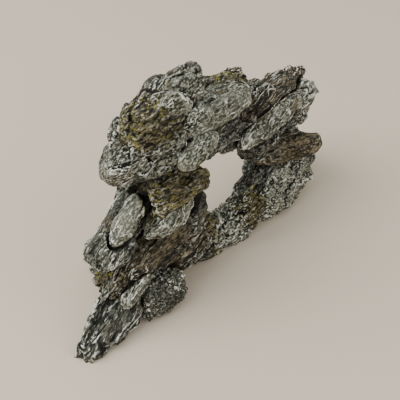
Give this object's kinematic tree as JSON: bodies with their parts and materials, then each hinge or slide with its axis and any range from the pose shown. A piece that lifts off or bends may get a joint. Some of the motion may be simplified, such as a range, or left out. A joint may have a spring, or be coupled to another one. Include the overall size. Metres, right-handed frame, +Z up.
{
  "type": "aquarium cave ornament",
  "caption": "Rugged rock arch of bonded, painted resin stones: a tall pier with a ribbed toe, a sloping lintel, a low rubble foot and a swim-through window.",
  "frame": {"origin": "middle of the arch's footprint box, on the ground plane it stands on", "axes": "+X runs along the arch from the ribbed toe of the tall pier to the low rubble foot, +Y from the front face to the back face, +Z up"},
  "size_m": [0.3048, 0.0964, 0.1934],
  "materials": {
    "grey": "matte",
    "dark": "matte",
    "pale": "matte",
    "moss": "matte",
    "rust": "matte",
    "rubble": "matte"
  },
  "bodies": {
    "root": {"toe_tip": "grey", "rib_left": "grey", "rib_middle": "grey", "rib_right": "grey", "rib_pale": "pale", "ramp_block": "moss", "gravel_clump": "rubble", "pier_core": "dark", "pier_back": "grey", "pier_heel": "rubble", "ledge_stone": "rust", "mid_slab": "rust", "shelf_boulder": "grey", "side_leaf_outer": "grey", "side_leaf_inner": "dark", "shell_plate": "pale", "pale_flake": "pale", "dark_knob": "dark", "moss_ledge": "moss", "ledge_knob": "moss", "neck_block": "dark", "snout_boulder": "grey", "snout_ear": "grey", "chin_block": "grey", "lip_slab": "grey", "head_back": "dark", "moss_shoulder": "moss", "crown_boulder": "grey", "crown_cap": "dark", "leaf_flake": "pale", "upper_slab": "grey", "upper_lobe": "grey", "back_log": "moss", "wedge_slab": "grey", "lintel_back": "dark", "long_block": "rust", "pale_rim": "pale", "rim_knob": "pale", "soffit_slab": "dark", "right_clump": "rubble", "ochre_log": "rust", "dark_log_end": "dark", "foot_neck": "dark", "foot_core": "dark", "foot_heel": "rubble", "rubble_block": "rubble", "inner_slab": "dark", "moss_saddle": "rust", "rubble_toe": "rubble", "sill_stone": "moss"}
  },
  "joints": []
}
